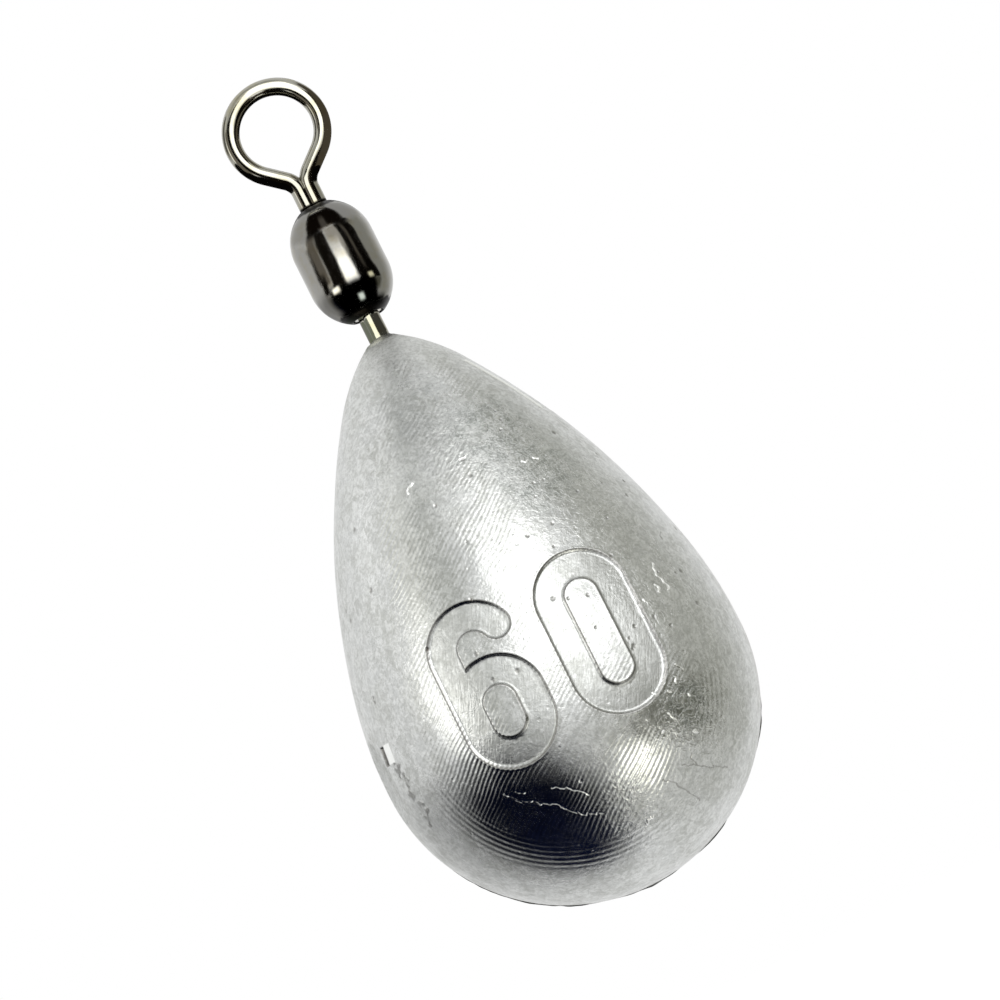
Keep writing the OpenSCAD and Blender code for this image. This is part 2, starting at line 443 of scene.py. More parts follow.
def cutter_marks(r, skin):
    """Height of the marks that the mould's cutter left: slanted passes inside, contours near the rim."""
    where, rim = skin.where, skin.rim
    x, y, z = r.put("SeparateXYZ", where).node.outputs
    across = r.product(x, r.maths("SIGN", y), -CUTTER_DIRECTION[0])
    along = r.product(z, CUTTER_DIRECTION[1])
    drift = r.product(r.noise(where, 0.35, 1.0), 0.5)
    pass_at = r.product(r.maths("ADD", r.maths("ADD", across, along), drift), TURN / CUTTER_PITCH)
    patchy = r.total(r.ramp(r.noise(where, 0.3, 3.0), 0.36, 0.62, 0.15, 1.0), (skin.clean, 0.6))
    high = r.ramp(z, BODY_Z + 9, BODY_Z + 14, 0.0, 1.8)
    inside = r.ramp(r.maths("ADD", rim, high), 2.3, 3.1)
    slanted = r.product(r.maths("SINE", pass_at), patchy, CUTTER_HEIGHT, inside)
    band = r.product(r.ramp(rim, 1.4, 2.0), r.ramp(rim, 3.3, 2.7))
    low = r.ramp(z, BODY_Z + 3, BODY_Z - 3, 0.25, 1.0)
    contour = r.product(r.maths("SINE", r.product(rim, TURN / CONTOUR_PITCH)), band, low, CONTOUR_HEIGHT)
    return r.maths("ADD", slanted, contour)


def scratches(r, where):
    """Noise of fine scratches, drawn along the photograph's up."""
    lean = (sin(PHOTO_LEAN), cos(PHOTO_LEAN))
    across = r.put("VectorMath", where, (9 * lean[1], 0, -9 * lean[0]), operation="DOT_PRODUCT", out=1)
    along = r.put("VectorMath", where, (lean[0], 0, lean[1]), operation="DOT_PRODUCT", out=1)
    return r.noise(r.put("CombineXYZ", across, along), 1.0, 2.0, 0.6)


def lead_skin(r):
    """What the lead's colour, height and roughness share: its mesh's fields, its patches and its noises."""
    where = r.place()
    skin = SimpleNamespace(where=where, **{name: r.attribute(name) for name in FIELDS})
    skin.frosted, skin.clean, skin.dull = (r.near(where, patches) for patches in (FROSTED, CLEAN, DULL))
    skin.tip = r.ramp(r.height(where), LEAD_HIGH.z - 3.4, LEAD_HIGH.z - 0.6)
    skin.clouds = r.ramp(r.noise(where, 0.6, 4.0, 0.6), 0.35, 0.68)
    skin.frost = r.noise(where, 2.3, 3.0, 0.6, 0.9)
    amount = r.total(0.5, (skin.frosted, 0.6), (skin.clean, -0.38), (skin.tip, 0.2))
    skin.amount = r.maths("MAXIMUM", amount, r.product(skin.floor, 0.5))
    skin.worms = r.product(r.ramp(r.creases(where, 2.0, 1.0, 0.5, 1.2), 0.045, 0.005), skin.amount)
    curls = r.ramp(r.creases(where, 3.4, 2.0, 0.6, 0.9), 0.07, 0.01, 0.0, 0.5)
    skin.curled = r.maths("MULTIPLY", r.maths("MULTIPLY_ADD", skin.frosted, 0.35, skin.dull), curls, clamp=True)
    skin.scratched = r.product(r.ramp(scratches(r, where), 0.36, 0.64), skin.floor)
    return skin


def lead_tone(r, skin):
    """The lead's colour, from the clouds below to the painted shade and grime on top."""
    tone = r.blend(skin.clouds, colour(0.58, 0.592, 0.582), colour(0.5, 0.51, 0.487))
    specks = r.ramp(r.noise(skin.where, 6.5, 2.0, 0.7), 0.42, 0.66)
    mottles = r.ramp(r.noise(skin.where, 1.5, 4.0, 0.65), 0.36, 0.62, 0.1, 0.6)
    for share, over in (
        (r.ramp(skin.frost, 0.4, 0.62, 0.0, 0.75), (0.735, 0.747, 0.735)),
        (r.product(skin.tip, 0.5), (0.8, 0.808, 0.795)),
        (r.product(skin.worms, 0.5), (0.8, 0.81, 0.8)),
        (r.product(specks, 0.4), (0.36, 0.365, 0.345)),
        (r.product(skin.dull, mottles), (0.26, 0.28, 0.26)),
        (skin.curled, (0.7, 0.715, 0.7)),
        (r.product(skin.scratched, 0.45), (0.42, 0.43, 0.41)),
        # Bare metal, lightened further as a painted highlight
        (skin.bare, (0.96, 0.97, 0.95)),
        # Painted shade, with some grime along the torn edge
        (skin.grime, (0.1, 0.09, 0.08)),
    ):
        tone = r.blend(share, tone, colour(*over))
    return tone


def lead_height(r, skin):
    """Height of the lead's fine relief."""
    holes = r.put("TexVoronoi", skin.where, None, 0.9, feature="F1")
    return r.total(
        r.ramp(holes, 0.11, 0.03, 0.0, -0.012),
        (cutter_marks(r, skin), r.maths("SUBTRACT", 1.0, skin.floor)),
        (r.product(skin.frost, skin.amount), 0.03),
        (skin.worms, 0.004),
        (skin.curled, 0.006),
        (r.noise(skin.where, 7.5, 2.0, 0.6), 0.006),
        (skin.scratched, 0.004),
        (r.product(r.noise(skin.where, 3.2, 4.0, 0.7), skin.torn), 0.06),
    )


def lead_material():
    """Bright cast lead: satin, clouded and frosted, with cutter marks, pin holes and scratches."""
    r = Recipe("cast_lead")
    skin = lead_skin(r)
    roughness = r.total(
        r.ramp(skin.clouds, 0.0, 1.0, 0.22, 0.29),
        (skin.clean, -0.1),
        (skin.floor, 0.12),
        (skin.torn, 0.2),
        (skin.tip, 0.3),
        (r.ramp(skin.rim, 2.4, 0.6), 0.1),
        (skin.bare, 0.05),
    )
    normal = r.bump(lead_height(r, skin))
    r.set(Base_Color=lead_tone(r, skin), Metallic=1.0, Roughness=roughness, Normal=normal)
    return r.material


def flash_material():
    """The thin torn edge of lead on the parting line, dull with oxide and darkened further with painted shade.
    """
    r = Recipe("lead_flash")
    where = r.place()
    clouds = r.ramp(r.noise(where, 1.6, 3.0), 0.35, 0.65)
    # Near black in places: oxide, darkened further as painted shade
    tone = r.blend(clouds, colour(0.05, 0.045, 0.045), colour(0.26, 0.26, 0.255))
    height = r.product(r.noise(where, 8.0, 3.0, 0.7), 0.02)
    r.set(Base_Color=tone, Metallic=1.0, Roughness=0.5, Normal=r.bump(height))
    return r.material


def plated_material(name, clean, worn, stretch, roughness, dents, hole_shade_reach=None, shade_below=None):
    """Dark nickel plate over brass, with faint drawing lines along the piece and a little worn brass.
    Near-black painted shade and dark reflection cover what lies within a given distance of the axis, round the
    holes, or below a given height."""
    r = Recipe(name)
    where = r.place()
    drawn = r.put("VectorMath", where, stretch, operation="MULTIPLY")
    lines = r.noise(drawn, 6.0, 3.0, 0.6)
    clouds = r.noise(where, 1.3, 3.0, 0.6)
    tone = r.blend(r.ramp(clouds, 0.45, 0.72), clean, worn)
    height = r.total(
        r.product(lines, 0.0006),
        (r.noise(where, 3.0, 2.0), 0.001 + dents / 6),
        (r.noise(where, 1.1, 1.0), dents),
    )
    rough = r.ramp(lines, 0.35, 0.7, roughness, roughness + 0.07)
    # Near-black painted shade and dark reflection round the holes, or below a height
    painted_shade = 0.0
    if hole_shade_reach:
        flat = r.put("VectorMath", where, (1, 1, 0), operation="MULTIPLY")
        ragged = r.total(r.put("VectorMath", flat, operation="LENGTH", out=1), (r.noise(where, 2.2, 2.0), 0.4))
        ragged = r.maths("ADD", ragged, r.ramp(r.height(where), BARREL_Z - 1, BARREL_Z + 1, 0.0, 0.1))
        painted_shade = r.ramp(ragged, hole_shade_reach + 0.28, hole_shade_reach + 0.12)
    if shade_below:
        painted_shade = r.ramp(r.height(where), shade_below + 0.12, shade_below)
    if hole_shade_reach or shade_below:
        tone = r.blend(painted_shade, tone, colour(0.006, 0.005, 0.004))
        rough = r.maths("MULTIPLY_ADD", painted_shade, 0.25, rough)
    r.set(Base_Color=tone, Metallic=1.0, Roughness=rough, Normal=r.bump(height))
    return r.material


# ---- meshes ----


def add_object(name, data):
    made = bpy.data.objects.new(name, data)
    bpy.context.scene.collection.objects.link(made)
    return made


def new_object(name, points, faces, material, smooth_below=None):
    """A mesh object from points in millimetres, shaded smooth but for edges sharper than smooth_below."""
    mesh = bpy.data.meshes.new(name)
    mesh.from_pydata([tuple(c * MM for c in p) for p in points], [], faces)
    mesh.validate()
    mesh.shade_smooth()
    if smooth_below is not None:
        mesh.set_sharp_from_angle(angle=smooth_below)
    mesh.materials.append(material)
    return add_object(name, mesh)


def tube_faces(rows, sides):
    """Faces of a tube whose points come row by row, with a cap at each end."""
    faces = []
    for row in range(rows - 1):
        for side in range(sides):
            after = (side + 1) % sides
            here, above = row * sides, (row + 1) * sides
            faces.append((here + side, here + after, above + after, above + side))
    faces.append(tuple(reversed(range(sides))))
    faces.append(tuple((rows - 1) * sides + side for side in range(sides)))
    return faces


def arc(centre, radius, start, end, step):
    """Points of an arc in the XZ plane, its first one left out."""
    count = max(2, round(abs(end - start) * radius / step))
    angles = [start + (end - start) * i / count for i in range(1, count + 1)]
    return [(centre[0] + radius * cos(a), centre[1] + radius * sin(a)) for a in angles]


def line(start, end, step):
    """Points of a straight in the XZ plane, its first one left out."""
    count = max(2, round(dist(start, end) / step))
    return [tuple(s + (e - s) * i / count for s, e in zip(start, end)) for i in range(1, count + 1)]


# The ring's straight flanks are tangent to it and to the bends at the throat
FLANK_TOP = (RING_R * cos(THROAT_TURN), -RING_R * sin(THROAT_TURN))
FLANK_FOOT_X = LEG_X + THROAT_R * (1 - cos(THROAT_TURN))
FLANK_LEN = (FLANK_TOP[0] - FLANK_FOOT_X) / sin(THROAT_TURN)
FLANK_FOOT_Z = FLANK_TOP[1] - FLANK_LEN * cos(THROAT_TURN)
THROAT_Z = FLANK_FOOT_Z - THROAT_R * sin(THROAT_TURN)
END_ARC_X = BARREL_R - BARREL_END_R
SEAT_R = BARREL_END_R - BARREL_WALL - SEAT_CLEARANCE


def seat_height(radius):
    """Height of the head's seat above the barrel's middle, at a radius."""
    return BARREL_MID / 2 + sqrt(SEAT_R**2 - (radius - END_ARC_X) ** 2)


HEAD_FOOT = EYE_LOW.z
HEAD_RIM = HEAD_FOOT + HEAD_T
EYE_REACH = seat_height(HEAD_R) - HEAD_RIM
WIRE_SIDES = 40
WIRE_STEP = 0.09


def eye_path():
    """The wire's centre line from one foot over the ring to the other."""
    half = [(LEG_X, HEAD_RIM)]
    half += line(half[-1], (LEG_X, THROAT_Z), WIRE_STEP)
    half += arc((LEG_X + THROAT_R, THROAT_Z), THROAT_R, pi, pi - THROAT_TURN, WIRE_STEP)
    half += line(half[-1], FLANK_TOP, WIRE_STEP)
    half += arc((0, 0), RING_R, -THROAT_TURN, pi / 2, WIRE_STEP)
    return half + [(-x, z) for x, z in reversed(half[:-1])]


def wire_eye(name, material):
    """A wire eye at the origin: one bent wire with its legs pressed together, a journal and an upset head."""
    path = eye_path()
    points = []
    for i, (x, z) in enumerate(path):
        before, after = path[max(i - 1, 0)], path[min(i + 1, len(path) - 1)]
        tangent = Vector((after[0] - before[0], after[1] - before[1])).normalized()
        for side in range(WIRE_SIDES):
            a = TURN * side / WIRE_SIDES
            px = x + WIRE_R * cos(a) * tangent.y
            if z < FLANK_TOP[1]:
                px = max(px, 0) if x > 0 else min(px, 0)
            points.append((px, WIRE_R * sin(a), z - WIRE_R * cos(a) * tangent.x))
    faces = tube_faces(len(path), WIRE_SIDES)
    head_points, head_faces = lathe(head_profile(), HEAD_SIDES)
    faces += [tuple(len(points) + v for v in face) for face in head_faces]
    return new_object(name, points + head_points, faces, material, PLATED_SHARP)


def head_profile():
    """Half outline of the journal and head, from the top of the axis to its foot."""
    top = HEAD_RIM + BARREL_HALF - JOURNAL_TOP - seat_height(HEAD_R)
    ease = 0.03
    seat = [JOURNAL_R + (HEAD_R - JOURNAL_R) * i / 8 for i in range(9)]
    return (
        [(0, top), (JOURNAL_R - ease, top), (JOURNAL_R, top - ease)]
        + [(radius, seat_height(radius) - EYE_REACH) for radius in seat]
        + [(HEAD_R, HEAD_FOOT), (0, HEAD_FOOT)]
    )


def lathe(profile, sides, closed=False):
    """Points and faces of a profile of (radius, height) turned about Z, with caps unless it is closed."""
    rows = [p for p in profile if p[0] > 0]
    points = [
        (radius * cos(TURN * s / sides), radius * sin(TURN * s / sides), z)
        for radius, z in rows
        for s in range(sides)
    ]
    faces = []
    count = len(rows)
    for row in range(count if closed else count - 1):
        here, below = row * sides, (row + 1) % count * sides
        for s in range(sides):
            after = (s + 1) % sides
            faces.append((here + s, below + s, below + after, here + after))
    if not closed:
        faces.append(tuple(range(sides)))
        faces.append(tuple(reversed(range((count - 1) * sides, count * sides))))
    return points, faces


def barrel_profile():
    """Closed outline of the barrel's wall, with rounded lips at the two holes."""
    def end(radius, steps, hole, lip):
        turn = acos((hole + lip - END_ARC_X) / radius)
        angles = [turn * i / steps for i in range(steps + 1)]
        return [(END_ARC_X + radius * cos(a), BARREL_MID / 2 + radius * sin(a)) for a in angles]

    outer = end(BARREL_END_R, 28, HOLE_R, BARREL_LIP)
    inner = end(BARREL_END_R - BARREL_WALL, 14, HOLE_R, 0)
    lip_top = outer[-1]
    lip_foot = (HOLE_R, lip_top[1] - BARREL_LIP)
    corner = (HOLE_R + BARREL_LIP / 4, lip_top[1] + BARREL_LIP / 5)
    lip = []
    for i in range(1, 7):
        t = i / 6
        lip.append(tuple(
            (1 - t) ** 2 * a + 2 * t * (1 - t) * b + t**2 * c for a, b, c in zip(lip_top, corner, lip_foot)
        ))
    upper = outer + lip + inner[::-1]
    return upper + [(radius, -z) for radius, z in reversed(upper)]


def swivel_barrel(material):
    points, faces = lathe(barrel_profile(), BARREL_SIDES, closed=True)
    points = [(x, y, z + BARREL_Z) for x, y, z in points]
    return new_object("barrel_shell", points, faces, material, PLATED_SHARP)


# ---- lead drop ----


def outline_at(length):
    """Radius, height and outward normal of the outline at a length from the bottom, and on over the crown."""
    radius = np.zeros_like(length)
    height, out, up = radius.copy(), radius.copy(), radius.copy()
    start = 0.0
    for x, z, r, first, last in OUTLINE:
        span = r * (last - first)
        here = (length >= start - 1e-9) & (length <= start + span + 1e-9)
        angle = first + (length[here] - start) / r
        radius[here], height[here] = x + r * np.cos(angle), z + r * np.sin(angle)
        out[here], up[here] = np.cos(angle), np.sin(angle)
        start += span
    crown = length > OUTLINE_LEN + 1e-9
    radius[crown] = CROWN_R - (length[crown] - OUTLINE_LEN)
    height[crown], out[crown], up[crown] = CROWN_END, 0, 1
    return radius, height, out, up


def depth_inside(x, z):
    """How far a point of the XZ plane lies inside the drop's outline."""
    x = np.abs(x)
    depth = np.full_like(x, np.inf)
    for cx, cz, r, first, last in OUTLINE:
        angle = np.arctan2(z - cz, x - cx)
        inside = (angle >= first - 0.02) & (angle <= last + 0.02)
        depth = np.where(inside, np.minimum(depth, r - np.hypot(x - cx, z - cz)), depth)
    return np.where(np.isinf(depth), 0.5, depth)


def arc_distance(x, z, cx, cz, radius, start, end):
    """Distance to an arc that runs from start to end, counter-clockwise."""
    angle = (np.arctan2(z - cz, x - cx) - start) % TURN
    on = angle <= (end - start) % TURN
    ends = [np.hypot(x - cx - radius * cos(a), z - cz - radius * sin(a)) for a in (start, end)]
    return np.where(on, np.abs(np.hypot(x - cx, z - cz) - radius), np.minimum(*ends))


def loop_distance(x, z, low, high, radius):
    """Distance to a round-ended loop whose straight sides run from low to high."""
    return np.abs(np.hypot(x, z - np.clip(z, low, high)) - radius)


def number_distance(x, z):
    """Distance to the figures 6 and 0, negative inside their strokes, for places from the number's centre."""
    bend = FIGURE_HALF_H - FIGURE_HALF_W
    zero = loop_distance(x - FIGURE_PITCH / 2, z, -bend, bend, FIGURE_HALF_W)
    x6 = x + FIGURE_PITCH / 2
    loop = loop_distance(x6, z, -bend, -bend + LOOP_RISE, FIGURE_HALF_W)
    stem = np.hypot(x6 + FIGURE_HALF_W, z - np.clip(z, -bend, bend))
    arm = arc_distance(x6, z, 0, bend, FIGURE_HALF_W, ARM_END, pi)
    return np.minimum(zero, np.minimum(loop, np.minimum(stem, arm))) - STROKE / 2


def polyline_distance(x, z, points):
    """Distance to a line of points, which wanders a little."""
    x = x + 0.07 * np.sin(5.1 * z + 2.3 * x) + 0.035 * np.sin(15 * z + 4 * x)
    z = z + 0.07 * np.sin(4.3 * x + 1.0) + 0.04 * np.sin(14 * x) + 0.02 * np.sin(31 * x)
    best = np.full_like(x, np.inf)
    for (ax, az), (bx, bz) in zip(points, points[1:]):
        dx, dz = bx - ax, bz - az
        share = np.clip(((x - ax) * dx + (z - az) * dz) / (dx * dx + dz * dz), 0, 1)
        best = np.minimum(best, np.hypot(x - ax - share * dx, z - az - share * dz))
    return best


def smooth(value, low, high):
    """Smooth step from 0 at low to 1 at high."""
    share = np.clip((value - low) / (high - low), 0, 1)
    return share * share * (3 - 2 * share)


def lines_distance(x, z, lines):
    """Distance to the nearest of some lines."""
    return np.minimum.reduce([polyline_distance(x, z, points) for points in lines])


def notch_distance(x, z, half_w):
    """How far a point that is x and z from its middle lies outside the notch, or the sheared face beside it."""
    c, s = cos(NOTCH_LEAN), sin(NOTCH_LEAN)
    along = np.abs(z * c + x * s) - NOTCH_HALF_LEN
    across = np.abs(x * c - z * s) - half_w
    return np.maximum(along, across)


def pits():
    """Seeded angles, heights and sizes of the pin holes. Every second one lies towards the front right."""
    draw = random.Random(PIT_SEED)
    found = [
        (
            draw.uniform(-pi, pi) if i % 2 else draw.gauss(*PIT_CLUSTER),
            draw.uniform(*PIT_HEIGHTS),
            draw.uniform(*PIT_SIZE),
        )
        for i in range(PIT_COUNT)
    ]
    return found + [(BLOWHOLE_TURN, height, size) for height, size in BLOWHOLE_PARTS]


def pit_distance(turn, radius, z):
    """Distance to the nearest pin hole's middle, as a share of its size."""
    nearest = np.full_like(z, AWAY)
    for at, height, size in pits():
        around = ((turn - at + pi) % TURN - pi) * radius
        nearest = np.minimum(nearest, np.hypot(around, z - height) / size)
    return nearest


def neck_distance(x, y):
    """Distance outside the two pressed legs where they enter the lead."""
    c, s = cos(ANCHOR_TURN), sin(ANCHOR_TURN)
    along, across = x * c + y * s, -x * s + y * c
    return np.hypot(along - np.clip(along, -LEG_X, LEG_X), across) - WIRE_R


class Lead:
    """Points of the drop's plain surface, given by angle and outline length, and how far each mark is."""

    def __init__(self, turn, length):
        radius, self.z, out, self.up = outline_at(length)
        self.x, self.y = radius * np.cos(turn), radius * np.sin(turn)
        self.nx, self.ny = out * np.cos(turn), out * np.sin(turn)
        front = self.y < 0
        right = front & (self.x > 0)
        self.rim = depth_inside(self.x, self.z)
        self.number = np.where(front, number_distance(self.x - NUMBER_X, self.z - NUMBER_Z), AWAY)
        self.seam, self.nick, self.crack, self.tear = (
            np.where(front, lines_distance(self.x, self.z, lines), AWAY)
            for lines in (COLD_SEAMS, NICKS, CRACKS, TEAR)
        )
        self.notch = np.where(front, notch_distance(self.x - NOTCH_X, self.z - NOTCH_Z, NOTCH_HALF_W), AWAY)
        self.shear = np.where(front, notch_distance(self.x - SHEAR_X, self.z - NOTCH_Z, SHEAR_HALF_W), AWAY)
        past = np.maximum(np.maximum(RIDGE_LOW - self.z, self.z - RIDGE_HIGH), 0)
        self.ridge = np.where(right, np.hypot(self.rim - RIDGE_INSET, past), AWAY)
        self.strip = right & (self.rim < RIDGE_INSET)
        self.pit = pit_distance(turn, radius, self.z)
        self.crown = length >= OUTLINE_LEN - 0.05
        self.neck = np.where(self.crown, neck_distance(self.x, self.y), AWAY)
        self.gate = self.x * cos(GATE_TURN) + self.y * sin(GATE_TURN) - (BODY_R - GATE_CUT)

    def detail(self):
        """Distance to the nearest edge that needs a finer mesh."""
        return np.minimum.reduce([
            np.abs(self.number),
            self.seam,
            self.nick,
            self.crack,
            self.tear,
            self.ridge,
            np.abs(self.notch),
            np.abs(self.shear),
            np.abs(self.gate) * 1.5,
            np.abs(self.neck) * 0.8,
            np.maximum(self.pit - 1, 0) * PIT_SIZE[1] * 2,
        ])


def refined_grid():
    """A flat mesh of angles and outline lengths, finer near the details, and its layers for the fields."""
    columns = round(TURN * BODY_R / GRID_STEP)
    total = OUTLINE_LEN + CROWN_R
    rows = round(total / GRID_STEP)
    grid = bmesh.new()
    layers = {name: grid.verts.layers.float.new(name) for name in FIELDS}
    verts = [
        [grid.verts.new((BACK - TURN + TURN * c / columns, total * r / rows, 0)) for c in range(columns + 1)]
        for r in range(rows + 1)
    ]
    for low, high in zip(verts, verts[1:]):
        for c in range(columns):
            grid.faces.new((low[c], low[c + 1], high[c + 1], high[c]))
    for reach in FINER_WITHIN:
        middle = np.array([f.calc_center_median()[:2] for f in grid.faces])
        near = Lead(middle[:, 0], middle[:, 1]).detail() < reach
        edges = {e for f, is_near in zip(grid.faces, near) if is_near for e in f.edges}
        bmesh.ops.subdivide_edges(grid, edges=list(edges), cuts=1, use_grid_fill=True)
    return grid, layers


def wander(points, step):
    """Noise from -1 to 1 that changes over a length of step."""
    return np.array([noise.noise(Vector(p) / step) for p in points])


def left_over(x, z):
    """Share of the flash that stays: stretches of it round the lower right, none elsewhere."""
    turn = np.arctan2(z, x)
    return sum(np.exp(-(((turn - at) / width) ** 2)) for at, width in FLASH_LEFT)


def lead_lift(lead, base):
    """How far the marks and swells raise the casting over its plain surface."""
    lift = wander(base, SWELL_LEN) * SWELL + wander(base + FAR, DIMPLE_LEN) * DIMPLE - SWELL / 2
    lift *= 1 - smooth(lead.z, CROWN_END - 2, CROWN_END)
    lift -= SINK * (1 - smooth(lead.number, -SINK_WALL, 0))
    lift += LIP_HEIGHT * np.exp(-((lead.number - LIP_AT) / LIP_W) ** 2)
    lift -= SEAM_DEPTH * (1 - smooth(lead.seam, 0.0, SEAM_HALF_W))
    lift += NICK_HEIGHT * (1 - smooth(lead.nick, 0.0, NICK_HALF_W))
    lift -= SEAM_DEPTH / 2 * (1 - smooth(lead.crack, 0.0, CRACK_HALF_W))
    lift += RIDGE_HEIGHT * (1 - smooth(lead.ridge, 0.0, RIDGE_HALF_W * 1.6))
    beside = smooth(lead.z, RIDGE_LOW - 0.2, RIDGE_LOW) * (1 - smooth(lead.z, RIDGE_HIGH, RIDGE_HIGH + 0.6))
    lift -= np.where(lead.strip, STEP_DEPTH * beside * smooth(-lead.y, 0, 0.8), 0)
    lift -= NOTCH_DEPTH * (1 - smooth(lead.notch, -0.08, 0.0))
    lift -= PIT_DEPTH * (1 - smooth(lead.pit, 0.1, 1.0))
    return lift + np.where(lead.crown, WICK * np.exp(-np.maximum(lead.neck, 0) / WICK_W), 0)


def lead_fields(lead, base, over):
    """The fields that the lead's material reads. over is how far the gate's trimming went into the lead."""
    ragged = 1 - smooth(lead.tear, TEAR_HALF_W * 0.5, TEAR_HALF_W)
    ragged *= smooth(wander(base, 0.3), -0.3, 0.3)
    parting = 1 - smooth(np.abs(lead.y) + 0.12 * wander(base, 0.4), 0.08, 0.3)
    # Painted shade: darker at the figures' edges, at the neck's foot and towards the crown, in the pin holes,
    # cracks and notch, and along the flash, with some grime along the torn edge
    grime = (
        0.75 * np.exp(-((lead.number + 0.02) / 0.045) ** 2)
        + 0.3 * (1 - smooth(lead.neck, 0.0, 0.3))
        + 0.5 * (1 - smooth(lead.pit, 0.3, 0.9))
        + 0.45 * (1 - smooth(lead.crack, CRACK_HALF_W * 0.4, CRACK_HALF_W * 1.4))
        + 0.8 * (1 - smooth(lead.notch, -0.04, 0.02))
        + 0.45 * ragged
        + 0.3 * smooth(lead.z, CROWN_END - 0.7, CROWN_END)
        + 0.6 * parting * left_over(lead.x, lead.z)
    )
    # Bare metal on the ridge, seams, nicks and sheared face, painted lighter still as a highlight
    bare = (
        1 - smooth(lead.ridge, RIDGE_HALF_W * 0.7, RIDGE_HALF_W * 1.4)
        + 0.45 * (1 - smooth(lead.seam, SEAM_HALF_W * 0.5, SEAM_HALF_W))
        + 1 - smooth(lead.nick, NICK_HALF_W * 0.5, NICK_HALF_W)
        + 1 - smooth(lead.shear, -0.04, 0.02)
    )
    return {
        "rim": lead.rim,
        "floor": 1 - smooth(lead.number, -SINK_WALL * 1.3, -SINK_WALL * 0.5),
        "torn": np.maximum(smooth(over, 0.0, 0.03), ragged),
        "grime": np.clip(grime, 0, 1),
        "bare": np.clip(bare, 0, 1),
    }


def lead_shape(lead):
    """Where each point of the casting lies, and the fields that its material reads."""
    base = np.stack([lead.x, lead.y, lead.z], axis=1)
    normal = np.stack([lead.nx, lead.ny, lead.up], axis=1)
    spot = base + normal * lead_lift(lead, base)[:, None]
    gate = np.array([cos(GATE_TURN), sin(GATE_TURN)])
    over = spot[:, :2] @ gate - (BODY_R - GATE_CUT)
    cut = over > 0
    torn_off = over + 0.02 * np.abs(wander(base, 0.5)) + 0.012 * np.abs(wander(base + FAR, 0.17))
    spot[cut, :2] -= torn_off[cut, None] * gate
    return spot + [0, 0, BODY_Z], lead_fields(lead, base, over)


def lead_casting(material):
    """The cast drop with everything that the mould, the trimming and use left on it."""
    grid, layers = refined_grid()
    params = np.array([v.co[:2] for v in grid.verts])
    spot, fields = lead_shape(Lead(params[:, 0], params[:, 1]))
    for i, vert in enumerate(grid.verts):
        vert.co = spot[i] * MM
        for name, layer in layers.items():
            vert[layer] = fields[name][i]
    bmesh.ops.remove_doubles(grid, verts=grid.verts, dist=1e-4 * MM)
    bmesh.ops.recalc_face_normals(grid, faces=grid.faces)
    mesh = bpy.data.meshes.new("lead_casting")
    grid.to_mesh(mesh)
    grid.free()
    mesh.shade_smooth()
    mesh.materials.append(material)
    return add_object("lead_casting", mesh)


def flash_ribbon(material):
    """The torn edge of lead that runs round the drop in the mould's parting plane."""
    lengths = np.arange(0.0, OUTLINE_LEN - 0.2, FLASH_STEP)
    radius, z, out, up = outline_at(lengths)
    x = np.concatenate([-radius[::-1], radius[1:]])
    nx = np.concatenate([-out[::-1], out[1:]])
    z, up = (np.concatenate([a[::-1], a[1:]]) for a in (z, up))
    gate = cos(GATE_TURN) * x > BODY_R - GATE_CUT - FLASH_REACH
    points = []
    for i in range(len(x)):
        coarse = noise.noise(Vector((x[i], 3, z[i])) / 1.1)
        fine = noise.noise(Vector((x[i], 9, z[i])) / 0.4)
        ragged = 0.7 + 0.5 * coarse + 0.25 * fine
        share = -1 if gate[i] else min(1.4 * ragged * left_over(x[i], z[i]) - 0.4, 1)
        reach = max(FLASH_REACH * share, -FLASH_ROOT / 2)
        for depth, half in ((-FLASH_ROOT, FLASH_T / 2), (reach, FLASH_T / 4)):
            at = (x[i] + nx[i] * depth, z[i] + up[i] * depth)
            points += [(at[0], half, at[1] + BODY_Z), (at[0], -half, at[1] + BODY_Z)]
    rows = len(x)
    ring = (0, 1, 3, 2)
    faces = []
    for row in range(rows - 1):
        for one, other in zip(ring, ring[1:] + ring[:1]):
            faces.append((row * 4 + one, row * 4 + other, row * 4 + 4 + other, row * 4 + 4 + one))
    faces.append(ring[::-1])
    faces.append(tuple((rows - 1) * 4 + v for v in ring))
    return new_object("lead_flash", points, faces, material, FLASH_SHARP)


# ---- stage ----


def card_material(name, tone, strength, one_sided):
    """A glow that fades to clear with the mesh's share, and is clear from behind if it is one-sided."""
    r = Recipe(name)
    r.tree.nodes.clear()
    behind = r.put("NewGeometry", out=6) if one_sided else 0
    seen = r.maths("SUBTRACT", r.attribute("share"), behind, clamp=True)
    mixed = r.put("MixShader", seen, r.put("BsdfTransparent"), r.put("Emission", colour(*tone), strength))
    r.put("OutputMaterial", mixed, out=None)
    r.material.cycles.emission_sampling = "NONE"
    return r.material


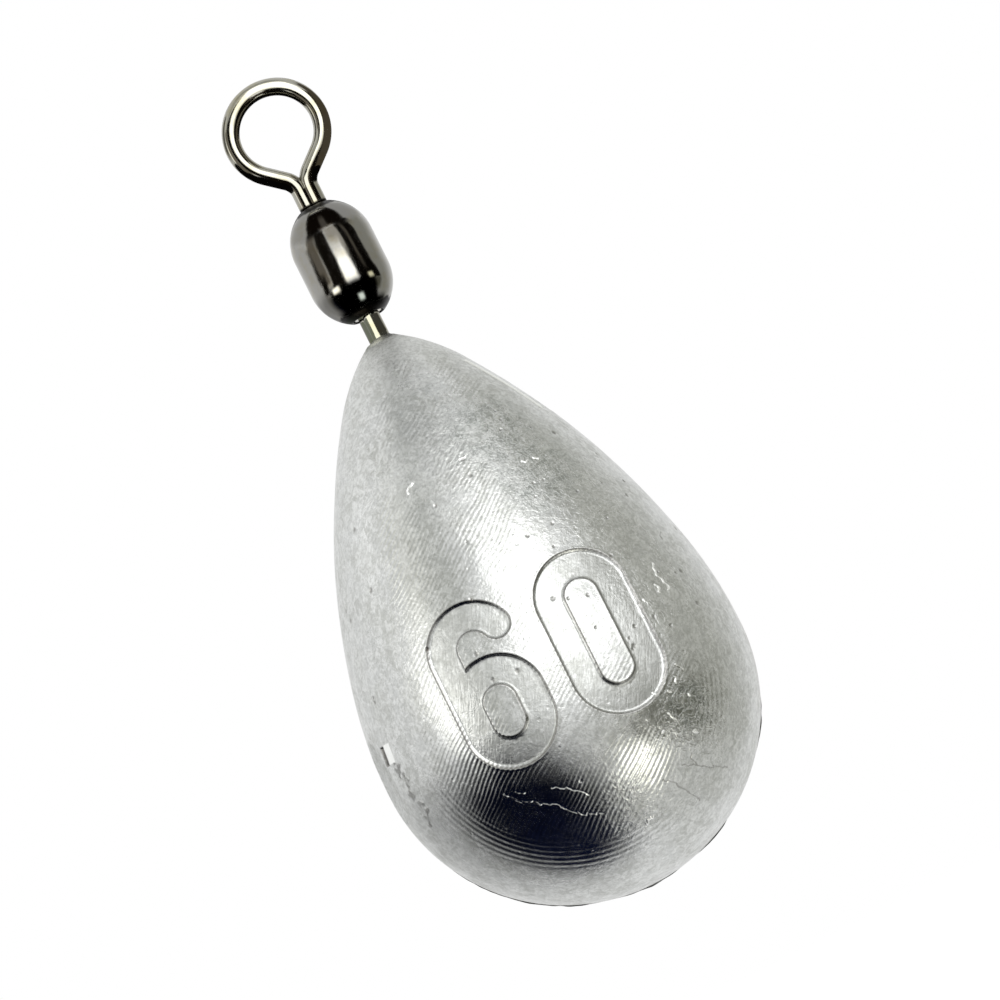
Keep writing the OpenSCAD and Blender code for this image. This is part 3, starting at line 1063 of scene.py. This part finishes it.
def soft_card(name, spot, across, along, fades, tone, strength, one_sided=False):
    """A card whose points spot gives for a pair of values. fades gives the width of the faded edges at the
    start and end of both ranges."""
    points, shares = [], []
    row = CARD_CELLS + 1
    for one in np.linspace(*across, row):
        for other in np.linspace(*along, row):
            points.append(spot(one, other))
            gaps = (one - across[0], across[1] - one, other - along[0], along[1] - other)
            shares.append(prod(smooth(gap, 0, fade) if fade else 1.0 for gap, fade in zip(gaps, fades)))
    starts = (i * row + j for i in range(CARD_CELLS) for j in range(CARD_CELLS))
    faces = [(at, at + 1, at + row + 1, at + row) for at in starts]
    piece = new_object(name, points, faces, card_material(name, tone, strength, one_sided))
    piece.data.attributes.new("share", "FLOAT", "POINT").data.foreach_set("value", shares)
    piece.visible_camera = piece.visible_diffuse = piece.visible_transmission = False
    piece.visible_shadow = piece.visible_volume_scatter = False


def direction(turn, lift):
    """A direction from the sinker at an azimuth from the front and an elevation, both in degrees."""
    turn, lift = radians(turn), radians(lift)
    return Vector((sin(turn) * cos(lift), -cos(turn) * cos(lift), sin(lift)))


def card(distance, name, azimuth, rise, fade, tone, strength):
    def spot(turn, lift):
        return Vector((0, 0, BODY_Z)) + direction(turn, lift) * distance

    fades = fade if isinstance(fade, tuple) else (fade,) * 4
    soft_card(name, spot, azimuth, rise, fades, tone, strength)


def round_card(distance, name, middle, ends, tone, strength):
    way = direction(*middle)
    aside = way.orthogonal().normalized()

    def spot(turn, off):
        turn, off = radians(turn), radians(off)
        out = aside * cos(turn) + way.cross(aside) * sin(turn)
        return Vector((0, 0, BODY_Z)) + (way * cos(off) + out * sin(off)) * distance

    fades = (0, 0, 0, ends[1] - ends[0])
    soft_card(name, spot, (0, 360), (0, ends[1]), fades, tone, strength)


def swivel_card(name, tip, slope, azimuth, distance, fades, tone, strength):
    """A card whose clear side is below. The roofs, which the barrel looks up at, are clear from above and
    narrow towards the axis."""
    side = -1 if name.startswith("roof") else 1

    def spot(turn, reach):
        turn = radians(turn * side)
        if side < 0:
            turn *= 1 - ROOF_TAPER / reach**2
        return (reach * sin(turn), -reach * cos(turn), tip + reach * tan(radians(slope)))

    if side < 0:
        azimuth = (-azimuth[1], -azimuth[0])
    soft_card(name, spot, azimuth, distance, (fades[0], *fades), tone, strength, one_sided=True)


def aimed(right, up, back, distance):
    """The place and turn of a lamp or camera at a distance from what it looks at."""
    turned = Matrix((right, up, back)).transposed()
    return Matrix.Translation((LOOK_AT + back * distance) * MM) @ turned.to_4x4()


def lamp():
    """The soft lamp over the sinker, for the floor alone. Reflections don't show it."""
    tilt, turn = (radians(a) for a in LAMP_AT)
    aside = PHOTO_UP * cos(turn) + PHOTO_RIGHT * sin(turn)
    way = TOWARD * cos(tilt) + aside * sin(tilt)
    light = bpy.data.lights.new("lamp", "AREA")
    light.shape = "RECTANGLE"
    light.size, light.size_y = (2 * STUDIO_R * MM * tan(radians(a / 2)) for a in LAMP_SIZE)
    light.energy = LAMP_LEVEL * pi * light.size * light.size_y
    holder = add_object("lamp", light)
    right = way.cross(PHOTO_RIGHT.cross(way).normalized()).normalized()
    holder.matrix_world = aimed(right, way.cross(right), way, STUDIO_R)
    holder.visible_camera = holder.visible_glossy = False


def white_world():
    world = bpy.data.worlds.new("studio")
    bpy.context.scene.world = world
    world.use_nodes = True
    tree = world.node_tree
    rays = tree.nodes.new("ShaderNodeLightPath")
    level = tree.nodes.new("ShaderNodeMapRange")
    tree.links.new(rays.outputs["Is Diffuse Ray"], level.inputs["Value"])
    level.inputs["To Min"].default_value = 1.0
    level.inputs["To Max"].default_value = ROOM_LEVEL
    background = tree.nodes["Background"]
    background.inputs["Color"].default_value = colour(1, 1, 1)
    tree.links.new(level.outputs[0], background.inputs["Strength"])
    world.cycles.sampling_method = "NONE"


def pale_floor():
    turns = [TURN * i / FLOOR_SIDES for i in range(FLOOR_SIDES)]
    points = [(FLOOR_R * cos(turn), FLOOR_R * sin(turn), FLOOR_Z) for turn in turns]
    floor = new_object("floor", points, [tuple(range(FLOOR_SIDES))], floor_material())
    floor.visible_glossy = floor.visible_shadow = False


def studio():
    """White surroundings, a pale floor under the sinker, a soft lamp, and the cards that the metal mirrors."""
    white_world()
    pale_floor()
    for i, values in enumerate(ROUND_CARDS):
        round_card(STUDIO_R - CARD_STEP * (i + 1), *values)
    for i, values in enumerate(CARDS):
        card(STUDIO_R + CARD_STEP * i, *values)
    for values in SWIVEL_CARDS:
        swivel_card(*values)
    lamp()


def floor_material():
    """Pale and matt. To the camera it adds the little that takes it to white, but not over the shadow."""
    r = Recipe("floor")
    seen = r.put("LightPath")
    r.set(Base_Color=colour(0.93, 0.93, 0.93), Roughness=0.9, Specular_IOR_Level=0.0)
    r.set(Emission_Color=colour(1, 1, 1), Emission_Strength=r.product(seen, FLOOR_LIFT))
    return r.material


def camera():
    """The photograph's viewing angle: square to the sinker's side, with the camera rolled by its lean."""
    lens = bpy.data.cameras.new("camera")
    lens.sensor_width = SENSOR
    lens.lens = SENSOR * CAMERA_DISTANCE / (PHOTO_SIDE * PX)
    lens.clip_start, lens.clip_end = 1 * MM, 10000 * MM
    holder = add_object("camera", lens)
    holder.matrix_world = aimed(PHOTO_RIGHT, PHOTO_UP, TOWARD, CAMERA_DISTANCE)
    bpy.context.scene.camera = holder


# ---- the object ----


def dress():
    """Makes each piece, puts it on its body and hides the CAD part that it stands for."""
    wire_look = (colour(0.38, 0.372, 0.325), colour(0.35, 0.33, 0.24), (1.0, 1.0, 0.3), 0.08, 0.002)
    shell_look = (colour(0.305, 0.3, 0.28), colour(0.29, 0.275, 0.23), (1.0, 1.0, 0.2), 0.09, 0.012)
    # The line eye's wire gets painted shade below the barrel's top, the barrel painted shade round its holes
    wire = plated_material("eye_plating", *wire_look, shade_below=BARREL_HIGH.z + 0.1)
    anchor_wire = plated_material("anchor_plating", *wire_look)
    shell = plated_material("barrel_plating", *shell_look, hole_shade_reach=1.4)
    line_eye = wire_eye("line_wire", wire)
    anchor = wire_eye("anchor_wire", anchor_wire)
    anchor.matrix_world = (
        Matrix.Translation((0, 0, (ANCHOR_LOW.z + EYE_HIGH.z) * MM))
        @ Matrix.Rotation(ANCHOR_TURN, 4, "Z")
        @ Matrix.Rotation(pi, 4, "X")
    )
    barrel = swivel_barrel(shell)
    lead = lead_casting(lead_material())
    flash = flash_ribbon(flash_material())
    for piece, body, node, slot in (
        (line_eye, "line_eye", "line_eye", "eye_wire"),
        (barrel, "swivel_barrel", "swivel_barrel", "barrel_plating"),
        (anchor, "weight", "anchor_eye", "eye_wire"),
        (lead, "weight", "lead_body", "cast_lead"),
        (flash, "weight", "lead_body", "cast_lead"),
    ):
        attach(piece, body)
        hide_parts(node)


dress()
studio()
camera()
bpy.context.scene.view_settings.view_transform = "Standard"
